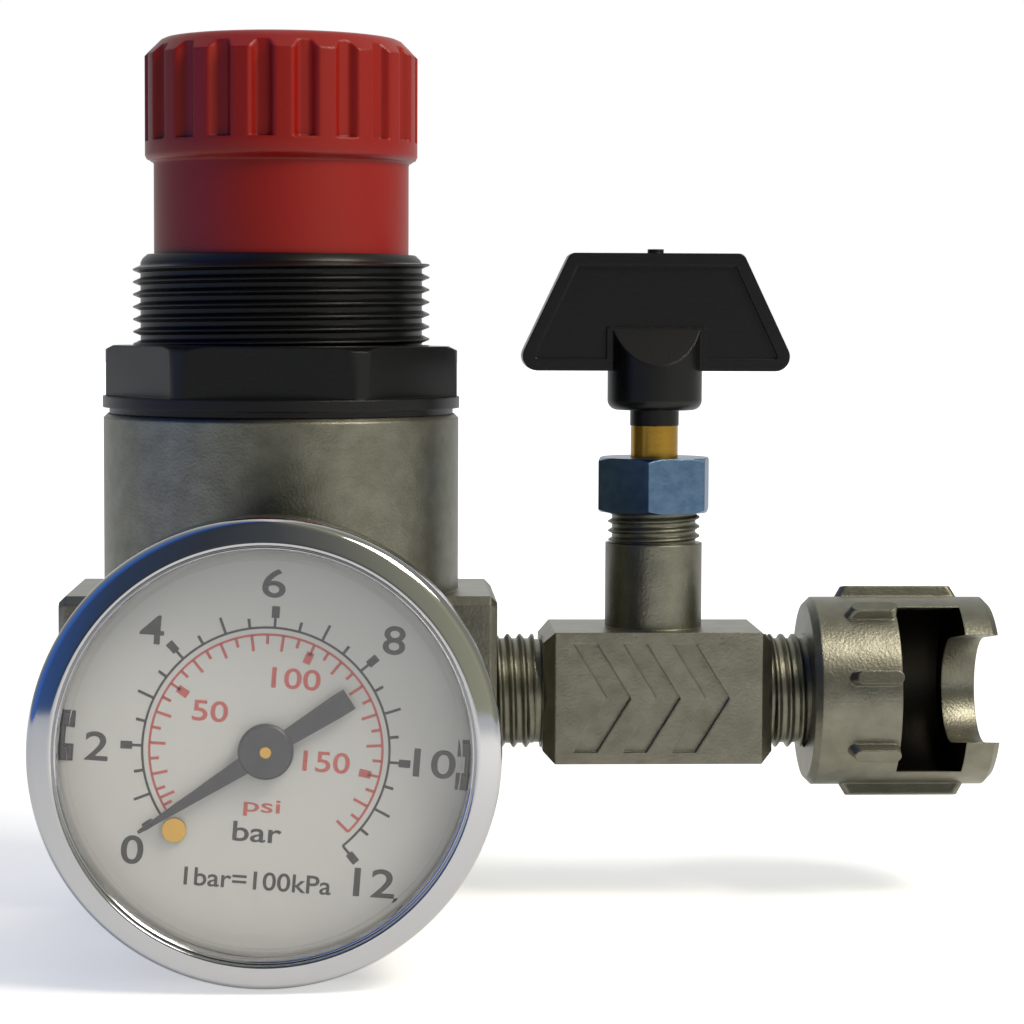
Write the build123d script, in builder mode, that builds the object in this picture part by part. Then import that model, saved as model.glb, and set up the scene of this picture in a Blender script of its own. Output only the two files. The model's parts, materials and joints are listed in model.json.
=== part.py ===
from build123d import *
import os
from math import asin, atan2, cos, degrees, hypot, pi, radians, sin, sqrt

# A miniature air pressure regulator with a gauge, a shut-off valve and a slotted coupling nut.
# All sizes are in millimetres. +Z runs up the regulator's own axis through the knob, the air goes
# from the inlet at -X to the coupling at +X, and the gauge faces -Y. The origin is on that axis,
# on the hexagon's top face, where a panel would lie. Threads are plain cylinders at full diameter.

# Fits, as the gap between two radii
running_fit = 0.05
thread_fit = 0.04
passing_gap = 0.3
gasket_fit = 0.1

# Bonnet: panel thread M36 x 1.5, hexagon, collar and the spigot that screws into the body
neck_r = 18.0
neck_length = 11.0
neck_lead = 1.3
neck_wall = 2.2
hexagon_flats = 38.0
hexagon_height = 6.1
hexagon_corner_r = 21.4
hexagon_edge = 0.5
hexagon_turn = -2.5
collar_height = 1.35
collar_proud = 0.1
relief_height = 0.75
relief_depth = 0.8
spigot_r = 19.0
spigot_length = 12.0
knob_thread_length = 6.0

# Body: a turned barrel with two square port bosses and two round gauge bosses
body_r = 21.6
body_height = 52.8
body_edge = 0.5
port_drop = 42.4
port_reach = 26.0
port_boss_width = 25.6
port_boss_corner = 1.0
port_boss_edge = 0.8
port_thread_r = 7.0
port_thread_depth = 12.0
port_bore_r = 4.0
gauge_boss_r = 10.0
gauge_boss_reach = 24.5
gauge_thread_r = 4.85
gauge_thread_depth = 8.5
control_chamber_r = 16.0
control_chamber_depth = 4.0
passage_r = 1.6
passage_web = 0.9

# Diaphragm stack, from the bonnet's foot down to the shelf in the body
slip_ring_height = 0.8
slip_ring_width = 2.6
diaphragm_rim_height = 1.4
diaphragm_rim_width = 2.3
diaphragm_web = 0.8
fold_height = 1.0
plate_r = 11.0
plate_height = 1.2
plate_boss_r = 5.2
plate_boss_height = 2.0
hub_r = 9.5
hub_height = 1.2
hub_stem_r = 2.0
hub_head_r = 3.1
hub_head_height = 0.7
relief_r = 0.9

# Poppet valve under the diaphragm
seat_r = 3.5
seat_depth = 7.2
seat_lip_width = 0.8
seat_lip_height = 0.6
valve_chamber_r = 7.4
pin_r = 1.4
poppet_r = 5.6
poppet_height = 3.0
poppet_seal_height = 0.9
poppet_rim = 0.4
guide_r = 2.2
guide_reach = 3.3
guide_depth = 7.0
plug_r = 9.0
plug_length = 12.5
plug_flange_r = 11.8
plug_flange_height = 2.5
plug_gasket_height = 1.0
plug_socket_flats = 8.0
plug_socket_depth = 5.0
plug_edge = 0.5
rear_socket_flats = 5.0
rear_socket_depth = 4.0

# Springs, wound from square wire
valve_spring_r = 4.1
valve_spring_wire = 0.8
valve_spring_turns = 3.5
range_spring_r = 9.2
range_spring_wire = 2.4
range_spring_turns = 4.5

# Knob, screwed down inside the bonnet onto the spring button
skirt_r = 15.45
skirt_wall = 3.0
skirt_depth = 5.0
head_r = 16.5
head_high = 37.0
head_edge = 0.9
crown_width = 2.2
crown_height = 2.2
roof = 3.6
flute_count = 20
flute_width = 2.7
flute_depth = 1.0
flute_low = 24.5
knob_boss_r = 5.0
button_top = 20.0
button_height = 2.6
button_lip_height = 1.8
knob_travel = 10.0
knob_low_gap = 1.2

# Gauge: bezel 50 mm, distances counted from the regulator's axis towards the reader
bezel_r = 25.0
bezel_wall = 1.2
bezel_face_width = 3.35
bezel_front = 55.0
bezel_length = 7.6
bezel_lip = 2.0
case_fit = 0.1
bezel_round = 1.4
bezel_edge = 0.5
bezel_shoulder = 0.45
bezel_fall = 0.35
case_wall = 0.9
case_back = 29.0
case_round = 1.6
window_height = 1.5
gasket_height = 1.0
gasket_width = 1.6
dial_front = 49.4
dial_thickness = 0.4
dial_gap = 0.7
lug_width = 4.8
lug_depth = 1.6
lug_tongue = 1.7
lug_turn = -4.5
lug_height = 2.5
lug_shelf = 1.0
dial_hole_r = 1.5
dial_screw_r = 1.3
dial_screw_place_r = 12.9
dial_screw_angle = 221.0
dial_screw_head = 0.6
dial_screw_shank_r = 0.7
dial_screw_length = 3.0
dial_post_r = 1.7
socket_flats = 12.0
socket_neck_r = 5.4
socket_block_height = 9.0
shank_r = 4.8
shank_bore_r = 1.5

# Gauge movement: a pinion on the pointer's shaft, turned by a sector and the tube's link
module = 0.3
pinion_teeth = 12
sector_whole_teeth = 84
sector_cut_teeth = 13
sector_lead_teeth = 1.5
sector_margin = 2.0
pressure_angle = 20.0
pointer_rest_angle = 212.4
tooth_backlash = 0.1
tooth_addendum = 0.26
tooth_dedendum = 0.38
pinion_overlap = 0.4
sector_rim = 1.8
sector_arm_width = 1.6
sector_arm_inset = 0.07
sector_hub_r = 2.0
sector_collar_r = 1.4
movement_back = 37.0
movement_plate = 0.8
movement_gap = 5.8
plate_bar_width = 5.0
pillar_r = 1.2
pillar_spread = 8.5
pillar_rise = 1.5
foot_pillar_x = -5.5
foot_pillar_y = -18.5
arbor_r = 0.6
gear_height = 0.8
tail_length = 4.5
link_height = 0.6
link_width = 1.8
link_pin_r = 0.5
tube_r = 15.5
tube_width = 1.8
tube_depth = 5.2
tube_wall = 0.35
tube_tip_angle = -45.0
arm_angle = 225.0
arm_width = 4.0
tip_length = 4.0
tip_width = 3.0
link_rise = 1.2
gear_clear = 0.6
hairspring_turns = 3
collet_r = 1.6
hairspring_step = 0.75
hairspring_wire = 0.2
hairspring_height = 0.7
hairspring_clear = 0.6
stud_r = 0.4

# Pointer and its hub
pointer_height = 0.4
pointer_gap = 0.9
pointer_hub_r = 2.95
pointer_hub_height = 1.0
pointer_hub_drop = 0.2
pointer_hub_edge = 0.25
pointer_length = 16.0
pointer_root_width = 2.2
pointer_tip_width = 0.35
pointer_tail_length = 10.5
pointer_tail_root = 1.5
pointer_tail_width = 2.4
pointer_tail_block = 1.6

# Shut-off valve block on the outlet, with its stem; heights are counted from the port's axis
nipple_r = 7.0
nipple_bore_r = 3.6
nipple_bore_depth = 4.5
block_start = 31.8
block_length = 27.9
block_width = 16.0
block_edge = 1.4
spigot_end = 73.0
valve_x = 45.7
offset_bore_r = 2.1
orifice_r = 1.9
bore_overlap = 2.0
lower_bore_drop = 1.2
upper_bore_rise = 4.6
seat_rise = 2.2
seat_chamber_r = 4.6
seat_chamber_rise = 0.2
chevron_count = 3
chevron_start = 3.6
chevron_spacing = 6.0
chevron_band = 2.9
chevron_shift = 4.1
chevron_height = 13.2
chevron_depth = 0.8
stem_r = 5.95
stem_thread_r = 5.7
stem_thread_low = 18.4
stem_top = 27.2
spindle_thread_high = 16.7
packing_height = 3.0
packing_width = 1.3
gland_flats = 13.0
gland_low = 22.2
gland_high = 28.9
gland_edge = 0.8
gland_turn = 20.0

# Spindle, seat disc and wing handle, with heights counted in the same way
spindle_r = 2.9
spindle_screw_r = 3.5
spindle_screw_length = 8.0
disc_r = 3.6
disc_height = 2.4
disc_pin_r = 1.5
disc_pin_depth = 1.2
valve_lift = 3.0
handle_drive = 3.6
handle_drive_length = 6.5
handle_collar_r = 3.0
handle_collar_low = 32.8
handle_hub_r = 5.8
handle_hub_low = 34.7
handle_hub_edge = 1.2
blade_low = 39.5
blade_high = 53.85
blade_foot_width = 34.8
blade_top_width = 21.2
blade_thickness = 4.6
blade_foot_round = 1.8
blade_top_round = 1.0
blade_border = 1.5
blade_recess = 0.5
hub_slope_low = 40.2
hub_slope_high = 44.5
nub_r = 1.0
nub_height = 0.5

# Coupling nut, open at the side and slotted at its end
nut_start = 64.5
nut_end = 87.1
nut_r = 11.6
nut_edge = 0.8
nut_end_edge = 0.8
rib_count = 8
rib_first_angle = 166.0
rib_r = 12.95
rib_width = 1.7
rib_start = 68.5
rib_end = 83.9
window_start = 74.9
window_end = 82.9
window_r = 10.0
slot_r = 6.5
slot_turn = 8.0
ribs_cut_within = 60.0
seal_height = 1.7
seal_r = 6.2

# Places that follow from the sizes above
case_r = bezel_r - bezel_wall
dial_r = case_r - case_wall - dial_gap
body_top = -(hexagon_height + collar_height + relief_height)
body_foot = body_top - body_height
bonnet_foot = body_top - spigot_length
shelf = bonnet_foot - slip_ring_height - diaphragm_rim_height
port_z = -port_drop
chamber_floor = shelf - control_chamber_depth
seat_z = chamber_floor - seat_depth
web_low = shelf + (diaphragm_rim_height - diaphragm_web) / 2
web_high = web_low + diaphragm_web
plate_top = web_high + plate_height
hub_foot = web_low - hub_height
lip_z = seat_z - seat_lip_height
poppet_top = lip_z - poppet_seal_height
poppet_foot = lip_z - poppet_height
plug_top = body_foot + plug_length
bonnet_bore_r = neck_r - neck_wall
skirt_foot = -skirt_depth
spring_top = button_top - button_height
head_low = neck_length + knob_travel + knob_low_gap

main_plane = Plane.XY
port_plane = Plane(origin=(0, 0, port_z), x_dir=(0, 1, 0), z_dir=(1, 0, 0))
gauge_plane = Plane(origin=(0, 0, port_z), x_dir=(1, 0, 0), z_dir=(0, -1, 0))
rear_plane = Plane(origin=(0, 0, port_z), x_dir=(-1, 0, 0), z_dir=(0, 1, 0))
valve_plane = Plane(origin=(valve_x, 0, port_z), x_dir=(1, 0, 0), z_dir=(0, 0, 1))

os.makedirs("parts", exist_ok=True)


def save(piece, name):
    """Label one finished piece and write it to its own file."""
    piece.part.label = name
    export_step(piece.part, f"parts/{name}.step")


def step(plane, radius, low, high, mode=Mode.ADD):
    """Add or cut a round step on a plane's normal, from one height to another."""
    with BuildSketch(plane.offset(low)) as section:
        Circle(radius)
    extrude(section.sketch, amount=high - low, mode=mode)


def ring(plane, inner, outer, low, high, mode=Mode.ADD):
    """Add or cut a flat ring on a plane's normal."""
    with BuildSketch(plane.offset(low)) as section:
        Circle(outer)
        Circle(inner, mode=Mode.SUBTRACT)
    extrude(section.sketch, amount=high - low, mode=mode)


def hexagon(plane, flats, low, high, turn=0.0, mode=Mode.ADD):
    """Add or cut a hexagon on a plane's normal, given across its flats."""
    with BuildSketch(plane.offset(low)) as section:
        RegularPolygon(flats / 2, 6, major_radius=False, rotation=turn)
    extrude(section.sketch, amount=high - low, mode=mode)


def turned(plane, outline, mode=Mode.ADD):
    """Turn an outline of (radius, height) points about a plane's normal."""
    side = Plane(origin=plane.origin, x_dir=plane.x_dir, z_dir=-plane.y_dir)
    with BuildSketch(side) as section:
        with BuildLine():
            Polyline(*outline, close=True)
        make_face()
    revolve(section.sketch, axis=Axis(plane.origin, plane.z_dir), mode=mode)


def spun(plane, angle):
    """Give the same plane with its x direction turned about its normal, in degrees."""
    turn = radians(angle)
    across = plane.x_dir * cos(turn) + plane.y_dir * sin(turn)
    return Plane(origin=plane.origin, x_dir=across, z_dir=plane.z_dir)


def bar(start, end, width):
    """Add a round-ended bar between two points to the current sketch."""
    run, rise = end[0] - start[0], end[1] - start[1]
    with Locations(((start[0] + end[0]) / 2, (start[1] + end[1]) / 2)):
        SlotCenterToCenter(hypot(run, rise), width, rotation=degrees(atan2(rise, run)))


def square_wire_spring(radius, wire, turns, low, high):
    """Wind a spring of square wire, whose ends reach exactly from low to high."""
    rise = high - low - wire
    start = Plane(origin=(radius, 0, low + wire / 2), x_dir=(1, 0, 0), z_dir=(0, 1, 0))
    with BuildPart() as spring:
        with BuildLine():
            Helix(pitch=rise / turns, height=rise, radius=radius, center=(0, 0, low + wire / 2))
        with BuildSketch(start):
            Rectangle(wire, wire)
        sweep(is_frenet=True)
    return spring


# Body: barrel, port bosses and gauge bosses, then the bores on the main axis
with BuildPart() as body:
    step(main_plane, body_r, body_foot, body_top)
    chamfer(body.edges().filter_by(GeomType.CIRCLE), body_edge)
    with BuildSketch(port_plane.offset(-port_reach)) as boss_outline:
        Rectangle(port_boss_width, port_boss_width)
        chamfer(boss_outline.vertices(), port_boss_corner)
    extrude(amount=2 * port_reach)
    chamfer(body.faces().sort_by(Axis.X)[0].edges(), port_boss_edge)
    chamfer(body.faces().sort_by(Axis.X)[-1].edges(), port_boss_edge)
    step(gauge_plane, gauge_boss_r, -gauge_boss_reach, gauge_boss_reach)
    step(main_plane, spigot_r + thread_fit, shelf, body_top, Mode.SUBTRACT)
    step(main_plane, control_chamber_r, chamber_floor, shelf, Mode.SUBTRACT)
    step(main_plane, seat_r, seat_z, chamber_floor, Mode.SUBTRACT)
    step(main_plane, valve_chamber_r, plug_top, seat_z, Mode.SUBTRACT)
    step(main_plane, plug_r + thread_fit, body_foot, plug_top, Mode.SUBTRACT)
    ring(main_plane, seat_r, seat_r + seat_lip_width, lip_z, seat_z)
    # Inlet and outlet: a threaded port, then on the inlet side a bore to the valve chamber
    for side in (-1, 1):
        outer = side * port_reach
        inner = side * (port_reach - port_thread_depth)
        step(port_plane, port_thread_r + thread_fit, inner, outer, Mode.SUBTRACT)
    step(port_plane, port_bore_r, -(port_reach - port_thread_depth), 0, Mode.SUBTRACT)
    # Outlet and both gauge ports open up into the control chamber
    outlet_passage_x = control_chamber_r - passage_r - passage_web
    with BuildSketch(main_plane.offset(port_z)) as passages:
        with Locations((outlet_passage_x, 0), (0, -outlet_passage_x), (0, outlet_passage_x)):
            Circle(passage_r)
    extrude(passages.sketch, amount=chamber_floor - port_z, mode=Mode.SUBTRACT)
    outlet_end = port_reach - port_thread_depth
    step(port_plane, passage_r, outlet_passage_x, outlet_end, Mode.SUBTRACT)
    for plane in (gauge_plane, rear_plane):
        thread_end = gauge_boss_reach - gauge_thread_depth
        step(plane, gauge_thread_r, thread_end, gauge_boss_reach, Mode.SUBTRACT)
        step(plane, passage_r, outlet_passage_x, thread_end, Mode.SUBTRACT)
save(body, "body")

# Bonnet: panel neck, hexagon with turned corners, collar, relief groove and spigot in one moulding
with BuildPart() as bonnet:
    hexagon(main_plane, hexagon_flats, -hexagon_height, 0, hexagon_turn)
    turned(
        main_plane,
        [
            (0, -hexagon_height),
            (hexagon_corner_r, -hexagon_height),
            (hexagon_corner_r, -hexagon_edge),
            (hexagon_corner_r - 2 * hexagon_edge, 0),
            (0, 0),
        ],
        Mode.INTERSECT,
    )
    collar_r = body_r + collar_proud
    step(main_plane, collar_r, -hexagon_height - collar_height, -hexagon_height)
    step(main_plane, collar_r - relief_depth, body_top, -hexagon_height - collar_height)
    step(main_plane, spigot_r, bonnet_foot, body_top)
    step(main_plane, neck_r, 0, neck_length)
    chamfer(bonnet.faces().sort_by(Axis.Z)[-1].edges(), neck_lead)
    step(main_plane, bonnet_bore_r, 0, neck_length, Mode.SUBTRACT)
    step(main_plane, skirt_r + thread_fit, -knob_thread_length, 0, Mode.SUBTRACT)
    step(main_plane, bonnet_bore_r, bonnet_foot, -knob_thread_length, Mode.SUBTRACT)
save(bonnet, "bonnet")

# Knob: a turned shape with a solid boss over the button, then the flutes cut through the crown
with BuildPart() as knob:
    knob_bore_r = skirt_r - skirt_wall
    turned(
        main_plane,
        [
            (knob_bore_r, skirt_foot),
            (skirt_r, skirt_foot),
            (skirt_r, head_low),
            (head_r - head_edge, head_low),
            (head_r, head_low + head_edge),
            (head_r, head_high - crown_height),
            (head_r - crown_width, head_high),
            (0, head_high),
            (0, button_top),
            (knob_boss_r, button_top),
            (knob_boss_r, head_high - roof),
            (knob_bore_r, head_high - roof),
        ],
    )
    with BuildSketch(main_plane.offset(flute_low)):
        with PolarLocations(head_r, flute_count):
            Rectangle(2 * flute_depth, flute_width)
    extrude(amount=head_high - flute_low, mode=Mode.SUBTRACT)
save(knob, "knob")

# Spring button: a flat cap that the knob presses on, with a lip inside the spring
with BuildPart() as spring_button:
    button_r = knob_bore_r - passing_gap
    step(main_plane, button_r, spring_top, button_top)
    lip_r = range_spring_r - range_spring_wire / 2 - passing_gap
    step(main_plane, lip_r, spring_top - button_lip_height, spring_top)
save(spring_button, "spring_button")

range_spring = square_wire_spring(
    range_spring_r, range_spring_wire, range_spring_turns, plate_top, spring_top
)
save(range_spring, "range_spring")

# Slip ring: lets the bonnet turn on the diaphragm's rim without dragging it
with BuildPart() as slip_ring:
    slip_outer = spigot_r - running_fit
    ring(main_plane, slip_outer - slip_ring_width, slip_outer, bonnet_foot - slip_ring_height, bonnet_foot)
save(slip_ring, "slip_ring")

# Diaphragm: a thick rim, a thin web and one folded corrugation between rim and plate
with BuildPart() as diaphragm:
    rim_inner = slip_outer - diaphragm_rim_width
    fold_inner = plate_r + diaphragm_web
    fold_outer = rim_inner - diaphragm_web
    fold_middle = (fold_inner + fold_outer) / 2
    turned(
        main_plane,
        [
            (hub_stem_r + running_fit, web_low),
            (fold_inner, web_low),
            (fold_middle, web_low + fold_height),
            (fold_outer, web_low),
            (rim_inner, web_low),
            (rim_inner, shelf),
            (slip_outer, shelf),
            (slip_outer, shelf + diaphragm_rim_height),
            (rim_inner, shelf + diaphragm_rim_height),
            (rim_inner, web_high),
            (fold_outer, web_high),
            (fold_middle, web_high + fold_height),
            (fold_inner, web_high),
            (hub_stem_r + running_fit, web_high),
        ],
    )
save(diaphragm, "diaphragm")

# Diaphragm plate: carries the range spring, which its boss keeps central
with BuildPart() as diaphragm_plate:
    step(main_plane, plate_r, web_high, plate_top)
    step(main_plane, plate_boss_r, plate_top, plate_top + plate_boss_height)
    step(main_plane, hub_stem_r + running_fit, web_high, plate_top + plate_boss_height, Mode.SUBTRACT)
save(diaphragm_plate, "diaphragm_plate")

# Relief hub: closes the diaphragm from below and vents through its own middle
with BuildPart() as relief_hub:
    head_foot = plate_top + plate_boss_height
    step(main_plane, hub_r, hub_foot, web_low)
    step(main_plane, hub_stem_r, web_low, head_foot)
    step(main_plane, hub_head_r, head_foot, head_foot + hub_head_height)
    step(main_plane, relief_r, hub_foot, head_foot + hub_head_height, Mode.SUBTRACT)
save(relief_hub, "relief_hub")

# Valve poppet: pin up through the orifice, head with a recess for the seal, guide stem below
with BuildPart() as valve_poppet:
    step(main_plane, poppet_r, poppet_foot, lip_z - passing_gap)
    step(main_plane, poppet_r - poppet_rim, poppet_top, lip_z, Mode.SUBTRACT)
    step(main_plane, pin_r, poppet_foot, hub_foot)
    step(main_plane, guide_r, plug_top - guide_reach, poppet_foot)
save(valve_poppet, "valve_poppet")

with BuildPart() as poppet_seal:
    ring(main_plane, pin_r, poppet_r - poppet_rim, poppet_top, lip_z)
save(poppet_seal, "poppet_seal")

valve_spring = square_wire_spring(
    valve_spring_r, valve_spring_wire, valve_spring_turns, plug_top, poppet_foot
)
save(valve_spring, "valve_spring")

# Bottom plug: guides the poppet and closes the valve chamber over a flat gasket
with BuildPart() as bottom_plug:
    flange_top = body_foot - plug_gasket_height
    flange_foot = flange_top - plug_flange_height
    step(main_plane, plug_r, flange_top, plug_top)
    step(main_plane, plug_flange_r, flange_foot, flange_top)
    chamfer(bottom_plug.faces().sort_by(Axis.Z)[0].edges(), plug_edge)
    step(main_plane, guide_r + running_fit, plug_top - guide_depth, plug_top, Mode.SUBTRACT)
    socket_top = flange_foot + plug_socket_depth
    hexagon(main_plane, plug_socket_flats, flange_foot, socket_top, 0, Mode.SUBTRACT)
save(bottom_plug, "bottom_plug")

with BuildPart() as bottom_plug_gasket:
    ring(main_plane, plug_r + gasket_fit, plug_flange_r, flange_top, body_foot)
save(bottom_plug_gasket, "bottom_plug_gasket")

# Rear port plug: a set screw with a hexagon socket in the spare gauge port
with BuildPart() as rear_port_plug:
    rear_start = gauge_boss_reach - gauge_thread_depth
    step(rear_plane, gauge_thread_r - thread_fit, rear_start, gauge_boss_reach)
    chamfer(rear_port_plug.faces().sort_by(Axis.Y)[-1].edges(), plug_edge)
    socket_start = gauge_boss_reach - rear_socket_depth
    hexagon(rear_plane, rear_socket_flats, socket_start, gauge_boss_reach, 0, Mode.SUBTRACT)
save(rear_port_plug, "rear_port_plug")

# Gauge socket: shank in the gauge port, square shoulder, neck through the case and the tube's block
with BuildPart() as gauge_socket:
    shank_end = gauge_boss_reach - gauge_thread_depth + passing_gap
    block_back = case_back + case_wall
    step(gauge_plane, shank_r, shank_end, gauge_boss_reach)
    with BuildSketch(gauge_plane.offset(gauge_boss_reach)):
        Rectangle(socket_flats, socket_flats)
    extrude(amount=case_back - gauge_boss_reach)
    step(gauge_plane, socket_neck_r, case_back, block_back)
    arm = radians(arm_angle)
    with BuildSketch(gauge_plane.offset(block_back)) as block_outline:
        Rectangle(socket_flats, socket_block_height)
        bar((0, 0), (tube_r * cos(arm), tube_r * sin(arm)), arm_width)
    extrude(amount=movement_back - block_back)
    step(gauge_plane, shank_bore_r, shank_end, (block_back + movement_back) / 2, Mode.SUBTRACT)
save(gauge_socket, "gauge_socket")

# Bourdon tube: a flat tube bent round the case, from the socket's arm to its free tip
tip = radians(tube_tip_angle)
tube_middle = (block_back + movement_back) / 2
tip_plane = Plane(
    origin=gauge_plane.origin, x_dir=(cos(tip), 0, sin(tip)), z_dir=(sin(tip), 0, -cos(tip))
)
arm_half_angle = degrees(asin(arm_width / 2 / (tube_r - tube_width / 2)))
tube_sweep = arm_angle - arm_half_angle - tube_tip_angle
with BuildPart() as bourdon_tube:
    with BuildSketch(tip_plane) as tube_section:
        with Locations((tube_r, tube_middle)):
            Rectangle(tube_width, tube_depth)
            Rectangle(tube_width - 2 * tube_wall, tube_depth - 2 * tube_wall, mode=Mode.SUBTRACT)
    revolve(axis=Axis(gauge_plane.origin, gauge_plane.z_dir), revolution_arc=tube_sweep)
save(bourdon_tube, "bourdon_tube")

# Tip block: closes the tube's free end and reaches forward to the link
link_back = movement_back + movement_plate + link_rise
tip_front = link_back - passing_gap
tip_back = tube_middle - tube_depth / 2
with BuildPart() as tube_tip_block:
    with BuildSketch(tip_plane):
        with Locations((tube_r, (tip_back + tip_front) / 2)):
            Rectangle(tip_width, tip_front - tip_back)
    extrude(amount=tip_length)
save(tube_tip_block, "tube_tip_block")

# Gear sizes: the sector stands for a whole wheel, of which only the working teeth are cut
pinion_pitch_r = module * pinion_teeth / 2
sector_pitch_r = module * sector_whole_teeth / 2
centre_distance = pinion_pitch_r + sector_pitch_r
tooth_angle = 360 / sector_whole_teeth
sector_plane = Plane(
    origin=(0, 0, port_z - centre_distance), x_dir=(1, 0, 0), z_dir=(0, -1, 0)
)
link_front = link_back + link_height
gear_back = link_front + gear_clear
front_plate_back = movement_back + movement_plate + movement_gap
front_plate_front = front_plate_back + movement_plate
pillars = [
    (-pillar_spread, pillar_rise),
    (pillar_spread, pillar_rise),
    (foot_pillar_x, foot_pillar_y),
]
pivot_point = (0, -centre_distance)
link_pin_reach = (
    tube_r * cos(tip) + tip_length / 2 * sin(tip),
    tube_r * sin(tip) - tip_length / 2 * cos(tip) + centre_distance,
)
link_span = sqrt(link_pin_reach[0] ** 2 + link_pin_reach[1] ** 2 - tail_length**2)
tail = atan2(link_pin_reach[1], link_pin_reach[0]) + atan2(tail_length, link_span) - pi / 2
tail_pin = (tail_length * cos(tail), tail_length * sin(tail))


def teeth(pitch_r, count, first_angle, step_angle):
    """Add straight-sided teeth round a pitch circle to the current sketch."""
    thickness = pi * module / 2 - tooth_backlash
    slope = sin(radians(pressure_angle))
    tip_half = thickness / 2 - tooth_addendum * slope
    root_half = thickness / 2 + tooth_dedendum * slope
    with PolarLocations(pitch_r, count, first_angle, step_angle * count):
        Polygon(
            (-tooth_dedendum - running_fit, -root_half),
            (tooth_addendum, -tip_half),
            (tooth_addendum, tip_half),
            (-tooth_dedendum - running_fit, root_half),
            align=None,
        )


def plate_outline():
    """Add the three bars that both movement plates share to the current sketch."""
    bar(pillars[0], pillars[1], plate_bar_width)
    bar((0, pillar_rise), pivot_point, plate_bar_width)
    bar(pivot_point, pillars[2], plate_bar_width)
    with Locations((0, 0), pivot_point):
        Circle(arbor_r + running_fit, mode=Mode.SUBTRACT)


# Movement back plate with its three riveted pillars, screwed to the socket's block
with BuildPart() as movement_back_plate:
    with BuildSketch(gauge_plane.offset(movement_back)):
        plate_outline()
    extrude(amount=movement_plate)
    with BuildSketch(gauge_plane.offset(movement_back + movement_plate)) as pillar_sections:
        with Locations(*pillars):
            Circle(pillar_r)
    extrude(amount=movement_gap)
save(movement_back_plate, "movement_back_plate")

# Movement front plate: closes the cage and carries the dial's post and the hairspring's stud
screw = radians(dial_screw_angle)
screw_place = (dial_screw_place_r * cos(screw), dial_screw_place_r * sin(screw))
dial_back = dial_front - dial_thickness
hairspring_outer = collet_r + hairspring_wire / 2 + hairspring_turns * hairspring_step
with BuildPart() as movement_front_plate:
    with BuildSketch(gauge_plane.offset(front_plate_back)) as front_plate:
        plate_outline()
        bar(pillars[0], screw_place, plate_bar_width)
    extrude(amount=movement_plate)
    with BuildSketch(gauge_plane.offset(front_plate_front)) as post:
        with Locations(screw_place):
            Circle(dial_post_r)
            Circle(dial_screw_shank_r + running_fit, mode=Mode.SUBTRACT)
    extrude(amount=dial_back - front_plate_front)
    with BuildSketch(gauge_plane.offset(front_plate_back)) as stud:
        with Locations((hairspring_outer + hairspring_wire / 2 + stud_r, 0)):
            Circle(stud_r)
    extrude(amount=-(hairspring_height + hairspring_clear))
save(movement_front_plate, "movement_front_plate")

# Pinion shaft: one turned piece from the back plate to the pointer, with the pinion cut on it
with BuildPart() as pinion_shaft:
    shaft_back = movement_back + passing_gap
    shaft_front = dial_front + pointer_gap + pointer_hub_height
    step(gauge_plane, arbor_r, shaft_back, shaft_front)
    with BuildSketch(gauge_plane.offset(gear_back - pinion_overlap)) as pinion:
        Circle(pinion_pitch_r - tooth_dedendum)
        teeth(pinion_pitch_r, pinion_teeth, -90, 360 / pinion_teeth)
    extrude(amount=gear_height + 2 * pinion_overlap)
    collet_back = front_plate_back - hairspring_clear - hairspring_height
    step(gauge_plane, collet_r, collet_back, front_plate_back - hairspring_clear)
save(pinion_shaft, "pinion_shaft")

# Hairspring: a flat spiral of half circles from the collet out to the stud
with BuildPart() as hairspring:
    with BuildSketch(gauge_plane.offset(collet_back)) as spiral:
        with BuildLine():
            reach = collet_r + hairspring_wire / 2
            for turn in range(2 * hairspring_turns):
                side = 1 if turn % 2 == 0 else -1
                further = reach + hairspring_step / 2
                ThreePointArc(
                    (side * reach, 0),
                    (side * (reach - further) / 2, side * (reach + further) / 2),
                    (-side * further, 0),
                )
                reach = further
        trace(line_width=hairspring_wire)
    extrude(amount=hairspring_height)
save(hairspring, "hairspring")

# Sector gear: toothed rim, two arms and the tail with its link pin
with BuildPart() as sector_gear:
    last_tooth = 90 + sector_lead_teeth * tooth_angle
    first_tooth = last_tooth - (sector_cut_teeth - 1) * tooth_angle
    low_edge = radians(first_tooth - sector_margin)
    high_edge = radians(last_tooth + sector_margin)
    middle = (low_edge + high_edge) / 2
    far = 2 * sector_pitch_r
    root_r = sector_pitch_r - tooth_dedendum
    with BuildSketch(sector_plane.offset(gear_back)) as sector:
        Circle(root_r)
        Circle(root_r - sector_rim, mode=Mode.SUBTRACT)
        Polygon(
            (0, 0),
            (far * cos(low_edge), far * sin(low_edge)),
            (far * cos(middle), far * sin(middle)),
            (far * cos(high_edge), far * sin(high_edge)),
            align=None,
            mode=Mode.INTERSECT,
        )
        arm_reach = root_r - sector_rim / 2
        for edge in (low_edge + sector_arm_inset, high_edge - sector_arm_inset):
            bar((0, 0), (arm_reach * cos(edge), arm_reach * sin(edge)), sector_arm_width)
        bar((0, 0), tail_pin, link_width)
        Circle(sector_hub_r)
        teeth(sector_pitch_r, sector_cut_teeth, first_tooth, tooth_angle)
        Circle(arbor_r + thread_fit, mode=Mode.SUBTRACT)
    extrude(amount=gear_height)
    with BuildSketch(sector_plane.offset(gear_back)) as pin_section:
        with Locations(tail_pin):
            Circle(link_pin_r)
    extrude(amount=-(gear_back - link_back))
save(sector_gear, "sector_gear")

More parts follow.
